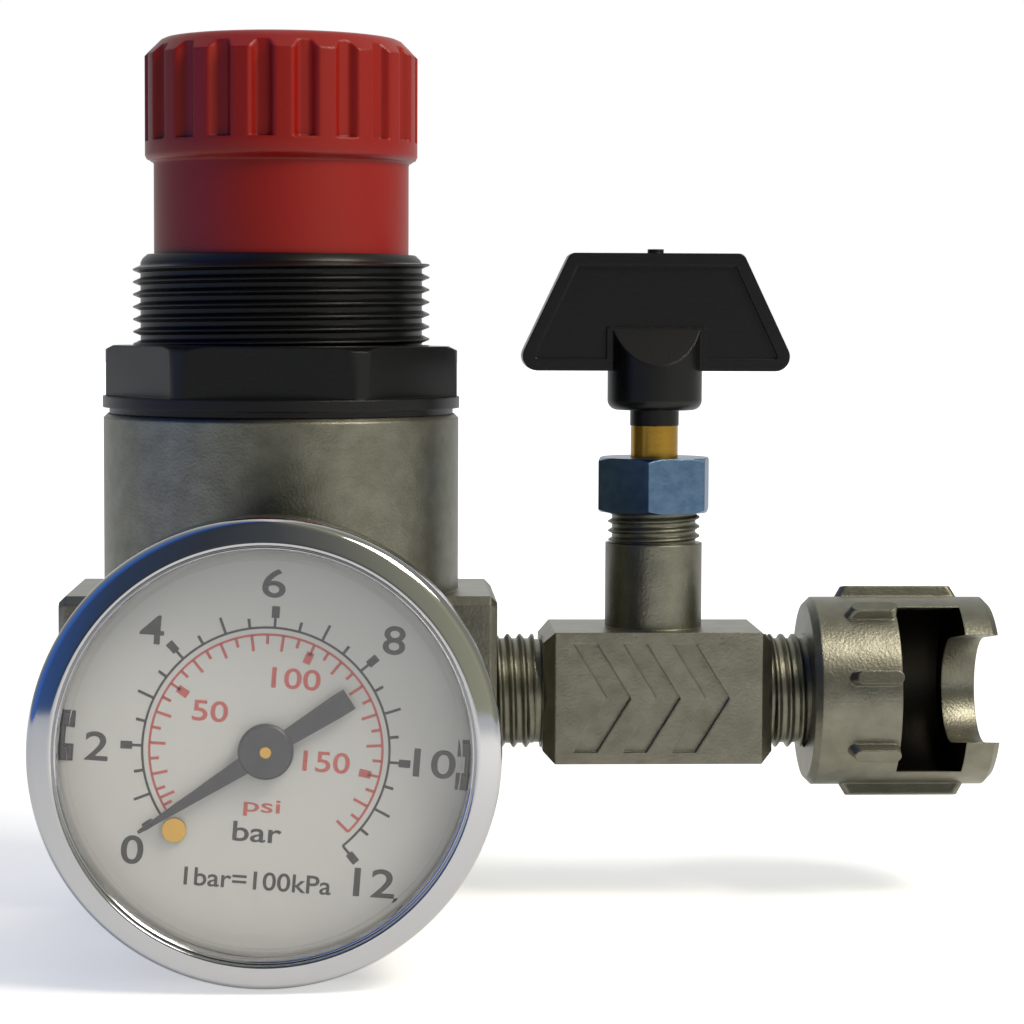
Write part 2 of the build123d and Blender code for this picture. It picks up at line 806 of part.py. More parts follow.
# Sector arbor: the staked shaft on which the sector swings between the plates
with BuildPart() as sector_arbor:
    step(sector_plane, arbor_r, movement_back + passing_gap, front_plate_front)
    collar_back = movement_back + movement_plate + passing_gap
    step(sector_plane, sector_collar_r, collar_back, gear_back)
save(sector_arbor, "sector_arbor")

# Link: joins the sector's tail to the tube's tip
with BuildPart() as gauge_link:
    with BuildSketch(sector_plane.offset(link_back)) as link_outline:
        bar(tail_pin, link_pin_reach, link_width)
        with Locations(tail_pin, link_pin_reach):
            Circle(link_pin_r + running_fit, mode=Mode.SUBTRACT)
    extrude(amount=link_height)
save(gauge_link, "gauge_link")

# Case: a drawn steel cup with two lugs that locate the dial
with BuildPart() as gauge_case:
    gasket_back = bezel_front - bezel_lip - window_height - gasket_height
    turned(
        gauge_plane,
        [
            (socket_neck_r + running_fit, case_back),
            (case_r - case_round, case_back),
            (case_r, case_back + case_round),
            (case_r, gasket_back),
            (case_r - case_wall, gasket_back),
            (case_r - case_wall, case_back + case_round),
            (case_r - case_round, case_back + case_wall),
            (socket_neck_r + running_fit, case_back + case_wall),
        ],
    )
    lug_reach = case_r - case_wall / 2
    lug_low = dial_r - lug_depth
    lug_plane = spun(gauge_plane, lug_turn)
    for side in (-1, 1):
        with BuildSketch(lug_plane.offset(dial_back - lug_height)) as lug_base:
            with Locations((side * (lug_low - lug_shelf + lug_reach) / 2, 0)):
                Rectangle(lug_reach - lug_low + lug_shelf, lug_width + 2 * lug_shelf)
        extrude(amount=lug_height)
        with BuildSketch(lug_plane.offset(dial_back)) as lug_top:
            with Locations((side * (lug_low + lug_reach) / 2, 0)):
                Rectangle(lug_reach - lug_low, lug_width)
            with Locations((side * lug_low, 0)):
                Rectangle(lug_depth, lug_tongue + 2 * passing_gap, mode=Mode.SUBTRACT)
        extrude(amount=dial_thickness + passing_gap)
save(gauge_case, "gauge_case")

# Dial: a printed disc with a notch and a tongue at each lug
with BuildPart() as gauge_dial:
    with BuildSketch(lug_plane.offset(dial_back)) as dial_face:
        Circle(dial_r)
        for side in (-1, 1):
            with Locations((side * dial_r, 0)):
                Rectangle(2 * (lug_depth + passing_gap), lug_width + 2 * passing_gap, mode=Mode.SUBTRACT)
            with Locations((side * (dial_r - lug_depth), 0)):
                Rectangle(lug_depth - 2 * passing_gap, lug_tongue)
        Circle(dial_hole_r, mode=Mode.SUBTRACT)
    extrude(amount=dial_thickness)
    with BuildSketch(gauge_plane.offset(dial_back)) as screw_hole:
        with Locations(screw_place):
            Circle(dial_screw_shank_r + running_fit)
    extrude(amount=dial_thickness, mode=Mode.SUBTRACT)
save(gauge_dial, "gauge_dial")

# Dial screw: a round head on the dial, its shank in the movement's post
with BuildPart() as dial_screw:
    with BuildSketch(gauge_plane.offset(dial_front)) as screw_head:
        with Locations(screw_place):
            Circle(dial_screw_r)
    extrude(amount=dial_screw_head)
    with BuildSketch(gauge_plane.offset(dial_front)) as screw_shank:
        with Locations(screw_place):
            Circle(dial_screw_shank_r)
    extrude(amount=-dial_screw_length)
save(dial_screw, "dial_screw")

# Pointer: a tapered blade with a hub and a counterweight tail
with BuildPart() as gauge_pointer:
    pointer_back = dial_front + pointer_gap
    pointer_plane = spun(gauge_plane, pointer_rest_angle)
    tail_block = -(pointer_tail_length - pointer_tail_block)
    with BuildSketch(pointer_plane.offset(pointer_back)) as pointer_outline:
        Polygon(
            (0, -pointer_root_width / 2),
            (pointer_length, -pointer_tip_width / 2),
            (pointer_length, pointer_tip_width / 2),
            (0, pointer_root_width / 2),
            align=None,
        )
        Polygon(
            (0, pointer_tail_root / 2),
            (tail_block, pointer_tail_width / 2),
            (-pointer_tail_length, pointer_tail_width / 2),
            (-pointer_tail_length, -pointer_tail_width / 2),
            (tail_block, -pointer_tail_width / 2),
            (0, -pointer_tail_root / 2),
            align=None,
        )
    extrude(amount=pointer_height)
    hub_back = pointer_back - pointer_hub_drop
    step(gauge_plane, pointer_hub_r, hub_back, hub_back + pointer_hub_height)
    chamfer(gauge_pointer.faces().sort_by(Axis.Y)[0].edges(), pointer_hub_edge)
    step(gauge_plane, arbor_r + thread_fit, hub_back, shaft_front, Mode.SUBTRACT)
save(gauge_pointer, "gauge_pointer")

# Window and its gasket, clamped between the case and the bezel's lip
with BuildPart() as gauge_window:
    window_back = gasket_back + gasket_height
    step(gauge_plane, case_r, window_back, window_back + window_height)
save(gauge_window, "gauge_window")

with BuildPart() as window_gasket:
    ring(gauge_plane, case_r - gasket_width, case_r, gasket_back, window_back)
save(window_gasket, "window_gasket")

# Bezel: a pressed ring with a rolled front edge that slopes in to the window
with BuildPart() as gauge_bezel:
    bezel_back = bezel_front - bezel_length
    lip_back = bezel_front - bezel_lip
    opening_r = bezel_r - bezel_face_width
    turned(
        gauge_plane,
        [
            (case_r + case_fit, bezel_back),
            (bezel_r, bezel_back),
            (bezel_r, bezel_front - bezel_round),
            (bezel_r - bezel_shoulder, bezel_front - bezel_shoulder),
            (bezel_r - bezel_round, bezel_front),
            (bezel_r - bezel_face_width / 2, bezel_front - bezel_fall),
            (opening_r, lip_back + bezel_edge),
            (opening_r, lip_back),
            (case_r + case_fit, lip_back),
        ],
    )
save(gauge_bezel, "gauge_bezel")

# Valve block: inlet nipple, square block with three arrow recesses, outlet spigot and stem
block_end = block_start + block_length
chamber_top = block_width / 2 + seat_chamber_rise
upper_bore_z = port_z + upper_bore_rise
lower_bore_z = port_z - lower_bore_drop
with BuildPart() as valve_block:
    with BuildSketch(port_plane.offset(block_start)) as block_section:
        Rectangle(block_width, block_width)
    extrude(amount=block_length)
    chamfer(valve_block.faces().sort_by(Axis.X)[0].edges(), block_edge)
    chamfer(valve_block.faces().sort_by(Axis.X)[-1].edges(), block_edge)
    nipple_start = port_reach - port_thread_depth + passing_gap
    step(port_plane, nipple_r, nipple_start, block_start)
    step(port_plane, nipple_r, block_end, spigot_end)
    step(valve_plane, stem_r, 0, stem_thread_low)
    step(valve_plane, stem_thread_r, stem_thread_low, stem_top)
    # Two bores that meet the valve chamber from below and from above
    step(port_plane, nipple_bore_r, nipple_start, block_start + nipple_bore_depth, Mode.SUBTRACT)
    step(port_plane, nipple_bore_r, block_end - nipple_bore_depth, spigot_end, Mode.SUBTRACT)
    lower_plane = Plane(origin=(0, 0, lower_bore_z), x_dir=(0, 1, 0), z_dir=(1, 0, 0))
    upper_plane = Plane(origin=(0, 0, upper_bore_z), x_dir=(0, 1, 0), z_dir=(1, 0, 0))
    step(lower_plane, offset_bore_r, block_start, valve_x + bore_overlap, Mode.SUBTRACT)
    upper_end = block_end - nipple_bore_depth + bore_overlap
    step(upper_plane, offset_bore_r, valve_x, upper_end, Mode.SUBTRACT)
    stem_bore_plane = spun(valve_plane, 90)
    step(stem_bore_plane, orifice_r, -lower_bore_drop, seat_rise, Mode.SUBTRACT)
    step(stem_bore_plane, seat_chamber_r, seat_rise, chamber_top, Mode.SUBTRACT)
    screw_bore_r = spindle_screw_r + running_fit
    step(stem_bore_plane, screw_bore_r, chamber_top, spindle_thread_high, Mode.SUBTRACT)
    step(stem_bore_plane, spindle_r + running_fit, spindle_thread_high, stem_top, Mode.SUBTRACT)
    packing_r = spindle_r + packing_width
    step(stem_bore_plane, packing_r, stem_top - packing_height, stem_top, Mode.SUBTRACT)
    front_plane = Plane(
        origin=(block_start, -block_width / 2, port_z), x_dir=(1, 0, 0), z_dir=(0, -1, 0)
    )
    with BuildSketch(front_plane) as arrows:
        half = chevron_height / 2
        for number in range(chevron_count):
            with Locations((chevron_start + number * chevron_spacing, 0)):
                Polygon(
                    (0, half),
                    (chevron_band, half),
                    (chevron_band + chevron_shift, 0),
                    (chevron_band, -half),
                    (0, -half),
                    (chevron_shift, 0),
                    align=None,
                )
    extrude(amount=-chevron_depth, mode=Mode.SUBTRACT)
save(valve_block, "valve_block")

# Gland packing and nut: seal the spindle at the stem's top
with BuildPart() as gland_packing:
    ring(valve_plane, spindle_r + running_fit, packing_r - running_fit, stem_top - packing_height, stem_top)
save(gland_packing, "gland_packing")

with BuildPart() as gland_nut:
    hexagon(valve_plane, gland_flats, gland_low, gland_high, gland_turn)
    gland_corner = gland_flats / 2 / cos(pi / 6)
    turned(
        valve_plane,
        [
            (0, gland_low),
            (gland_corner - gland_edge, gland_low),
            (gland_corner, gland_low + gland_edge / 2),
            (gland_corner, gland_high - gland_edge / 2),
            (gland_corner - gland_edge, gland_high),
            (0, gland_high),
        ],
        Mode.INTERSECT,
    )
    step(valve_plane, stem_thread_r + thread_fit, gland_low, stem_top, Mode.SUBTRACT)
    step(valve_plane, spindle_r + running_fit, stem_top, gland_high, Mode.SUBTRACT)
save(gland_nut, "gland_nut")

# Spindle: screw below, plain rod through the gland and a square that drives the handle
with BuildPart() as spindle:
    disc_foot = seat_rise + valve_lift
    spindle_foot = disc_foot + disc_height
    step(valve_plane, spindle_screw_r, spindle_foot, spindle_foot + spindle_screw_length)
    step(valve_plane, spindle_r, spindle_foot, handle_collar_low)
    step(valve_plane, disc_pin_r, spindle_foot - disc_pin_depth, spindle_foot)
    with BuildSketch(valve_plane.offset(handle_collar_low)):
        Rectangle(handle_drive, handle_drive)
    extrude(amount=handle_drive_length)
save(spindle, "spindle")

# Seat disc: does not turn, but is pushed down onto its seat by the spindle
with BuildPart() as seat_disc:
    step(valve_plane, disc_r, disc_foot, spindle_foot)
    step(valve_plane, disc_pin_r + running_fit, spindle_foot - disc_pin_depth, spindle_foot, Mode.SUBTRACT)
save(seat_disc, "seat_disc")

# Wing handle: round hub with sloped shoulders, blade with a recessed face on both sides
with BuildPart() as wing_handle:
    step(valve_plane, handle_hub_r, handle_hub_low, hub_slope_high)
    fillet(wing_handle.edges().filter_by(GeomType.CIRCLE).sort_by(Axis.Z)[0], handle_hub_edge)
    half_blade = blade_thickness / 2
    slope_plane = Plane(
        origin=(valve_x - handle_hub_r, 0, port_z), x_dir=(0, 1, 0), z_dir=(1, 0, 0)
    )
    for side in (-1, 1):
        with BuildSketch(slope_plane) as slope:
            Polygon(
                (side * handle_hub_r, hub_slope_low),
                (side * half_blade, hub_slope_high),
                (side * 2 * handle_hub_r, hub_slope_high),
                (side * 2 * handle_hub_r, hub_slope_low),
                align=None,
            )
        extrude(amount=2 * handle_hub_r, mode=Mode.SUBTRACT)
    blade_plane = Plane(origin=valve_plane.origin, x_dir=(1, 0, 0), z_dir=(0, -1, 0))
    with BuildSketch(blade_plane.offset(-half_blade)) as blade:
        Polygon(
            (-blade_foot_width / 2, blade_low),
            (blade_foot_width / 2, blade_low),
            (blade_top_width / 2, blade_high),
            (-blade_top_width / 2, blade_high),
            align=None,
        )
        fillet(blade.vertices().group_by(Axis.Y)[0], blade_foot_round)
        fillet(blade.vertices().group_by(Axis.Y)[-1], blade_top_round)
    extrude(amount=blade_thickness)
    for side in (-1, 1):
        with BuildSketch(blade_plane.offset(side * half_blade)) as recess:
            add(blade.sketch_local)
            offset(amount=-blade_border)
            with Locations((0, hub_slope_low)):
                Rectangle(
                    2 * (handle_hub_r + passing_gap),
                    2 * (hub_slope_high - hub_slope_low + passing_gap),
                    mode=Mode.SUBTRACT,
                )
        extrude(amount=-side * blade_recess, mode=Mode.SUBTRACT)
    step(valve_plane, handle_collar_r, handle_collar_low, handle_hub_low)
    step(valve_plane, nub_r, blade_high, blade_high + nub_height)
    with BuildSketch(valve_plane.offset(handle_collar_low)) as drive_socket:
        Rectangle(handle_drive, handle_drive)
    extrude(amount=handle_drive_length, mode=Mode.SUBTRACT)
save(wing_handle, "wing_handle")

# Coupling nut: ribbed, with a side window and an end slot that take a flanged spigot. It stands
# turned a little, and the ribs that meet the window end at its rim
with BuildPart() as coupling_nut:
    step(port_plane, nut_r, nut_start, nut_end)
    chamfer(coupling_nut.faces().sort_by(Axis.X)[0].edges(), nut_edge)
    chamfer(coupling_nut.faces().sort_by(Axis.X)[-1].edges(), nut_end_edge)
    for number in range(rib_count):
        rib_angle = rib_first_angle + number * 360 / rib_count
        angle = radians(rib_angle)
        from_mouth = abs((rib_angle + slot_turn) % 360 - 180)
        this_end = window_start if from_mouth < ribs_cut_within else rib_end
        rib_plane = Plane(
            origin=(0, 0, port_z), x_dir=(1, 0, 0), z_dir=(0, cos(angle), sin(angle))
        )
        with BuildSketch(rib_plane.offset(nut_r - rib_width)) as rib:
            with Locations(((rib_start + this_end) / 2, 0)):
                SlotOverall(this_end - rib_start, rib_width)
        extrude(amount=rib_r - nut_r + rib_width)
    step(port_plane, nipple_r + thread_fit, nut_start, window_start, Mode.SUBTRACT)
    mouth_plane = spun(port_plane, -slot_turn)
    for low, high, radius in ((window_start, window_end, window_r), (window_end, nut_end, slot_r)):
        with BuildSketch(mouth_plane.offset(low)) as mouth:
            Circle(radius)
            with Locations((-rib_r, 0)):
                Rectangle(2 * rib_r, 2 * radius)
        extrude(amount=high - low, mode=Mode.SUBTRACT)
save(coupling_nut, "coupling_nut")

# Outlet seal: a rubber washer on the spigot's end, which the flanged spigot presses
with BuildPart() as outlet_seal:
    ring(port_plane, nipple_bore_r, seal_r, spigot_end, spigot_end + seal_height)
save(outlet_seal, "outlet_seal")
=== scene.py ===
# %% [markdown]
# # A miniature air pressure regulator
# The part is a compressed-air regulator: a red knob on a black threaded neck, a die-cast body
# with a 50 mm gauge in front, and a shut-off valve with a wing handle that ends in a coupling
# nut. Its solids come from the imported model, in metres and already in place. This lesson
# gives them their finishes, and rebuilds with finer shapes those that a camera sees closely.

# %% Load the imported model
import json
import math
import bmesh
import bpy
from mathutils import Matrix, Vector


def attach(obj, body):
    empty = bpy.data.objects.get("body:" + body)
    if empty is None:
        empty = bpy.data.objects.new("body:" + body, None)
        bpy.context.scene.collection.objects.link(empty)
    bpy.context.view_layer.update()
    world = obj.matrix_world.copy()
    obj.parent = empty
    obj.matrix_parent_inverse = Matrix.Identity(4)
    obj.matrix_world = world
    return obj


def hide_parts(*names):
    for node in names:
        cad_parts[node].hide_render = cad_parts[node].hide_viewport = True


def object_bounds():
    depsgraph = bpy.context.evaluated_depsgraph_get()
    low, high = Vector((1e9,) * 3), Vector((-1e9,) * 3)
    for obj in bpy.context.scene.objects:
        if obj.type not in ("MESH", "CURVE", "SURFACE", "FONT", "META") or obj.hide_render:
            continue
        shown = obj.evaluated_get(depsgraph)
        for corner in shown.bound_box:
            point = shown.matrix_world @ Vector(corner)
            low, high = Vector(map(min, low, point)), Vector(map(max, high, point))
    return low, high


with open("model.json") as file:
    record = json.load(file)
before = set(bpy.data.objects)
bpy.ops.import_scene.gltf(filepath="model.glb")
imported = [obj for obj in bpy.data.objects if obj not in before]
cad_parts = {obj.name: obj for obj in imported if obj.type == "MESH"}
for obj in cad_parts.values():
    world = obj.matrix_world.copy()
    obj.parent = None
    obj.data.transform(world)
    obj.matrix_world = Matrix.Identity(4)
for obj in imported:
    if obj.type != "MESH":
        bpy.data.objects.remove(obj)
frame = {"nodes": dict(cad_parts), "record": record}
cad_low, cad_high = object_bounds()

nodes = frame["nodes"]
MM = 0.001
PORT_HEIGHT = -42.4
print("nodes:", len(nodes), "box in mm:", [round(v / MM, 1) for v in (*cad_low, *cad_high)])

# %% [markdown]
# The photograph was taken from a little over a third of a metre, almost square to the gauge,
# which therefore looks a fifth larger than the parts behind it. A real camera has no more than
# a place, a direction and a focal length, so the camera object gets exactly those. The small
# roll is the tilt of the hand that held it.

# %% Place the camera
CAMERA_PLACE = Vector((12.42, -363.5, 3.89)) * MM
CAMERA_YAW = -2.489
CAMERA_PITCH = -3.807
CAMERA_ROLL = 0.244
FOCAL_PIXELS = 2965.5
FRAME_PIXELS = 1024.0

lens = bpy.data.cameras.new("studio_camera")
lens.sensor_width = 36.0
lens.sensor_height = 36.0
lens.sensor_fit = "HORIZONTAL"
lens.lens = FOCAL_PIXELS / FRAME_PIXELS * lens.sensor_width
camera = bpy.data.objects.new("studio_camera", lens)
bpy.context.scene.collection.objects.link(camera)
turn = (
    Matrix.Rotation(math.radians(CAMERA_YAW), 4, "Z")
    @ Matrix.Rotation(math.radians(90 + CAMERA_PITCH), 4, "X")
    @ Matrix.Rotation(math.radians(CAMERA_ROLL), 4, "Z")
)
camera.matrix_world = Matrix.Translation(CAMERA_PLACE) @ turn
bpy.context.scene.camera = camera
bpy.context.scene.view_settings.view_transform = "Standard"
print("focal length", round(lens.lens, 1), "mm on a 36 mm frame")

# %% [markdown]
# A colour is written here as people write it on paper or on a web page, in sRGB. Blender
# mixes light in linear values, so one function turns the one into the other. A second one adds
# a shader node, and a third starts a material from its Principled shader.

# %% Colours and shader nodes
def linear(text):
    """Turn a colour written as six hex digits into linear red, green, blue and alpha."""
    shown = [int(text[i : i + 2], 16) / 255 for i in (0, 2, 4)]
    return [c / 12.92 if c <= 0.04045 else ((c + 0.055) / 1.055) ** 2.4 for c in shown] + [1.0]


def add_node(tree, kind, settings=None, values=None, links=None):
    """Add a shader node with its settings, its socket values and the outputs that feed it."""
    node = tree.nodes.new(kind)
    for name, value in (settings or {}).items():
        setattr(node, name, value)
    for name, value in (values or {}).items():
        node.inputs[name].default_value = value
    for name, output in (links or {}).items():
        tree.links.new(output, node.inputs[name])
    return node


def ramp(tree, factor, stops):
    """Turn a grey pattern into colours, given as (position, sRGB hex) stops."""
    node = add_node(tree, "ShaderNodeValToRGB", links={"Fac": factor})
    band = node.color_ramp
    while len(band.elements) < len(stops):
        band.elements.new(0.5)
    for element, (position, colour) in zip(band.elements, stops):
        element.position = position
        element.color = linear(colour)
    return node.outputs["Color"]


def new_material(name, colour, metallic, roughness, **more):
    """Start a material from a Principled shader with plain numbers on its own sockets."""
    material = bpy.data.materials.new(name)
    material.use_nodes = True
    shader = material.node_tree.nodes["Principled BSDF"]
    shader.inputs["Base Color"].default_value = linear(colour)
    shader.inputs["Metallic"].default_value = metallic
    shader.inputs["Roughness"].default_value = roughness
    for socket, value in more.items():
        shader.inputs[socket.replace("_", " ")].default_value = value
    return material, material.node_tree, shader


def grain(tree, size, detail=2.0):
    """Give a noise pattern whose blotches are about that many millimetres across."""
    place = add_node(tree, "ShaderNodeTexCoord")
    return add_node(
        tree,
        "ShaderNodeTexNoise",
        values={"Scale": 1.0 / (size * MM), "Detail": detail},
        links={"Vector": place.outputs["Object"]},
    ).outputs["Fac"]


def roughen(tree, shader, height, depth, edge=0.0):
    """Raise a surface by a pattern, depth in millimetres, on edges softened to a radius."""
    bump = add_node(
        tree, "ShaderNodeBump", values={"Distance": depth * MM}, links={"Height": height}
    )
    if edge:
        round_edge = add_node(tree, "ShaderNodeBevel", {"samples": 4}, {"Radius": edge * MM})
        tree.links.new(round_edge.outputs["Normal"], bump.inputs["Normal"])
    tree.links.new(bump.outputs["Normal"], shader.inputs["Normal"])


print("a mid grey is", round(linear("808080")[0], 3), "in linear light")

# %% [markdown]
# ## The finishes
# The body, the valve block and the coupling nut are zinc, cast under pressure in a steel die and
# tumbled. The metal fills the die in swirls, so its satin grey is cloudy over a few millimetres,
# and tumbling leaves a fine pitted grain and worn, slightly rounded edges.

# %% Die-cast zinc
zinc, tree, shader = new_material("die_cast_zinc_tumbled", "7C7B70", 1.0, 0.38)
clouds = ramp(tree, grain(tree, 2.2, 4.0), [(0.3, "757468"), (0.7, "858478")])
tree.links.new(clouds, shader.inputs["Base Color"])
roughen(tree, shader, grain(tree, 0.35, 3.0), 0.035, edge=0.3)
print(zinc.name)

# %% [markdown]
# The bonnet, the handle and the bottom plug are black acetal, injection moulded. It is slightly
# waxy: it takes soft grey highlights and has a very fine texture from the mould.

# %% Moulded black acetal
acetal, tree, shader = new_material("black_acetal_moulded", "08080A", 0.0, 0.33, IOR=1.4)
roughen(tree, shader, grain(tree, 0.4), 0.012, edge=0.25)
print(acetal.name)

# %% [markdown]
# The knob is nylon, dyed a deep red all through and moulded against a polished die, so it is
# smoother than the black parts, with a satin gloss on rounded edges.

# %% Moulded red nylon
red_nylon, tree, shader = new_material("red_nylon_moulded", "8A0F05", 0.0, 0.36, IOR=1.45)
roughen(tree, shader, grain(tree, 0.9), 0.01, edge=0.35)
print(red_nylon.name)

# %% [markdown]
# The bezel is pressed brass with a bright chromium plate. Such a plate mirrors the room with
# hardly any blur, a little bluish.

# %% Bright chromium plate
chrome, tree, shader = new_material("chromium_plate_bright", "BFC0C3", 1.0, 0.09)
roughen(tree, shader, grain(tree, 3.0), 0.006)
print(chrome.name)

# %% [markdown]
# The dial is aluminium under a matt pale grey enamel, and its pointer is stoved black. The
# gauge's case is black enamel as well, with a little more gloss.

# %% Enamels
dial_enamel, tree, shader = new_material("pale_grey_enamel_matt", "B3B4B1", 0.0, 0.6)
black_enamel, tree, shader = new_material("black_enamel_stoved", "14171F", 0.0, 0.45)
print(dial_enamel.name, black_enamel.name)

# %% [markdown]
# The window is clear acrylic, pressed in one piece. It is optically thin, so the dial behind
# it stays where it is, and only its rims catch the light.

# %% Clear acrylic
acrylic, tree, shader = new_material(
    "clear_acrylic", "FFFFFF", 0.0, 0.02, IOR=1.49, Transmission_Weight=1.0
)
print(acrylic.name)

# %% [markdown]
# The spindle and the gauge's movement are turned brass. A lathe tool leaves fine rings round
# the axis, which only soften the highlight at this scale. The gland nut is steel with a
# bluish zinc plate, a little worn at its edges, and the springs are drawn wire.

# %% Turned and plated metals
brass, tree, shader = new_material("brass_turned", "B08A3A", 1.0, 0.24)
roughen(tree, shader, grain(tree, 0.6), 0.008, edge=0.1)
plated_steel, tree, shader = new_material("steel_zinc_plated_blue", "5A7595", 1.0, 0.3)
wear = ramp(tree, grain(tree, 1.4, 4.0), [(0.35, "54708F"), (0.65, "637C99")])
tree.links.new(wear, shader.inputs["Base Color"])
roughen(tree, shader, grain(tree, 0.5), 0.02, edge=0.25)
spring_wire, tree, shader = new_material("spring_steel_drawn", "8E8E8C", 1.0, 0.32)
print(brass.name, plated_steel.name, spring_wire.name)

# %% [markdown]
# Diaphragm and gaskets are nitrile rubber, matt black. The outlet's washer is a brownish
# rubber, and the valve's packing is PTFE, which is milky white and waxy.

# %% Rubbers and PTFE
black_rubber, tree, shader = new_material("nitrile_rubber_black", "1B1B1C", 0.0, 0.75)
brown_rubber, tree, shader = new_material("rubber_brown", "4A3428", 0.0, 0.65)
ptfe, tree, shader = new_material("ptfe_white", "E8E8E4", 0.0, 0.5)
print(black_rubber.name, brown_rubber.name, ptfe.name)

# %% [markdown]
# Every node of the model says which finish it has. Here each gets it, once, on its own slot.

# %% Give the solids their finishes
finish_of = {
    "zinc_casting": zinc,
    "black_acetal": acetal,
    "red_plastic": red_nylon,
    "chrome_plate": chrome,
    "black_enamel": black_enamel,
    "clear_plastic": acrylic,
    "dial_enamel": dial_enamel,
    "brass": brass,
    "spring_steel": spring_wire,
    "plated_steel": plated_steel,
    "black_rubber": black_rubber,
    "brown_rubber": brown_rubber,
    "packing_plastic": ptfe,
}
for subpart in frame["record"]["subparts"]:
    mesh = nodes[subpart["node"]].data
    mesh.materials.clear()
    mesh.materials.append(finish_of[subpart["material_slot"]])

# %% [markdown]
# ## The studio
# Polished metal shows its surroundings more than itself, so the room matters. The wall behind
# the part is white and the room behind the camera is dim. A window with cool daylight stands to
# the left, which gives the dark pieces their blue flank, and a large lamp hangs above. The
# white of the picture comes from what the camera sees directly, and doesn't light the part.

# %% The room around the part
world = bpy.data.worlds.new("studio_room")
bpy.context.scene.world = world
world.use_nodes = True
sky = world.node_tree
sky.nodes.clear()
path = add_node(sky, "ShaderNodeLightPath")
direction = add_node(sky, "ShaderNodeTexCoord")
parts = add_node(sky, "ShaderNodeSeparateXYZ", links={"Vector": direction.outputs["Generated"]})
front = add_node(sky, "ShaderNodeMath", {"operation": "MULTIPLY"}, {1: -1.0}, {0: parts.outputs["Y"]})
round_wall = add_node(
    sky,
    "ShaderNodeMath",
    {"operation": "ARCTAN2"},
    links={0: parts.outputs["X"], 1: front.outputs[0]},
)
share = add_node(
    sky,
    "ShaderNodeMapRange",
    values={"From Min": -math.pi, "From Max": math.pi},
    links={"Value": round_wall.outputs[0]},
)
WALLS = [
    (-180, "FFFFFF"), (-150, "B4B4B0"), (-115, "7A8894"), (-92, "5A80C8"), (-72, "4878DC"),
    (-55, "4468A8"), (-38, "3C4C68"), (-18, "40454E"), (0, "54585A"), (14, "76766F"),
    (32, "9A9A88"), (52, "B8B89C"), (72, "A8A890"), (100, "949488"), (135, "A0A098"),
    (160, "C8C8C4"), (180, "FFFFFF"),
]
room = ramp(sky, share.outputs["Result"], [((angle + 180) / 360, shade) for angle, shade in WALLS])
fill = add_node(sky, "ShaderNodeBackground", values={"Strength": 1.0}, links={"Color": room})
white = add_node(sky, "ShaderNodeBackground", values={"Color": (1, 1, 1, 1), "Strength": 1.0})
straight = add_node(
    sky,
    "ShaderNodeMath",
    {"operation": "MAXIMUM"},
    links={0: path.outputs["Is Camera Ray"], 1: path.outputs["Is Transmission Ray"]},
)
seen = add_node(
    sky,
    "ShaderNodeMixShader",
    links={"Fac": straight.outputs[0], 1: fill.outputs[0], 2: white.outputs[0]},
)
add_node(sky, "ShaderNodeOutputWorld", links={"Surface": seen.outputs[0]})


def area_lamp(name, place, aim, size, power, colour):
    """Hang a soft rectangular lamp at a place in millimetres, turned towards its aim."""
    light = bpy.data.lights.new(name, "AREA")
    light.shape = "RECTANGLE"
    light.size, light.size_y = size[0] * MM, size[1] * MM
    light.energy = power
    light.color = linear(colour)[:3]
    lamp = bpy.data.objects.new(name, light)
    lamp.location = Vector(place) * MM
    lamp.rotation_euler = (Vector(aim) - Vector(place)).to_track_quat("-Z", "Y").to_euler()
    bpy.context.scene.collection.objects.link(lamp)
    return lamp


area_lamp("key_softbox", (260, -170, 300), (20, 0, -20), (220, 160), 1.7, "FFF6E8")

# %% [markdown]
# The floor is a sheet of white card. The lamps light it, and for rays that come straight from
# the camera or a mirror a plain glow is added, so that it joins the white wall without a
# horizon. The shadow under the part stays, as a soft light grey.

# %% The floor
FLOOR_GAP = 0.4 * MM
sheet = bmesh.new()
bmesh.ops.create_grid(sheet, x_segments=1, y_segments=1, size=4.0)
bmesh.ops.translate(sheet, verts=sheet.verts, vec=(0, 0, cad_low.z - FLOOR_GAP))
floor_mesh = bpy.data.meshes.new("white_card")
sheet.to_mesh(floor_mesh)
sheet.free()
floor = bpy.data.objects.new("white_card", floor_mesh)
bpy.context.scene.collection.objects.link(floor)

card, tree, shader = new_material("matt_white_card", "F4F4F2", 0.0, 0.9)
floor_mesh.materials.append(card)
path = add_node(tree, "ShaderNodeLightPath")
straight = add_node(
    tree,
    "ShaderNodeMath",
    {"operation": "MAXIMUM"},
    links={0: path.outputs["Is Camera Ray"], 1: path.outputs["Is Transmission Ray"]},
)
mirrored = add_node(tree, "ShaderNodeMath", {"operation": "MULTIPLY"}, {1: 0.4}, {0: path.outputs["Is Glossy Ray"]})
glow = add_node(
    tree,
    "ShaderNodeMath",
    {"operation": "MAXIMUM"},
    links={0: straight.outputs[0], 1: mirrored.outputs[0]},
)
place = add_node(tree, "ShaderNodeTexCoord")
away = add_node(tree, "ShaderNodeVectorMath", {"operation": "LENGTH"}, links={0: place.outputs["Object"]})
far = add_node(
    tree,
    "ShaderNodeMapRange",
    values={"From Min": 0.12, "From Max": 0.5, "To Min": 0.5, "To Max": 1.0},
    links={"Value": away.outputs["Value"]},
)
strength = add_node(
    tree,
    "ShaderNodeMath",
    {"operation": "MULTIPLY"},
    links={0: glow.outputs[0], 1: far.outputs["Result"]},
)
tree.links.new(strength.outputs[0], shader.inputs["Emission Strength"])
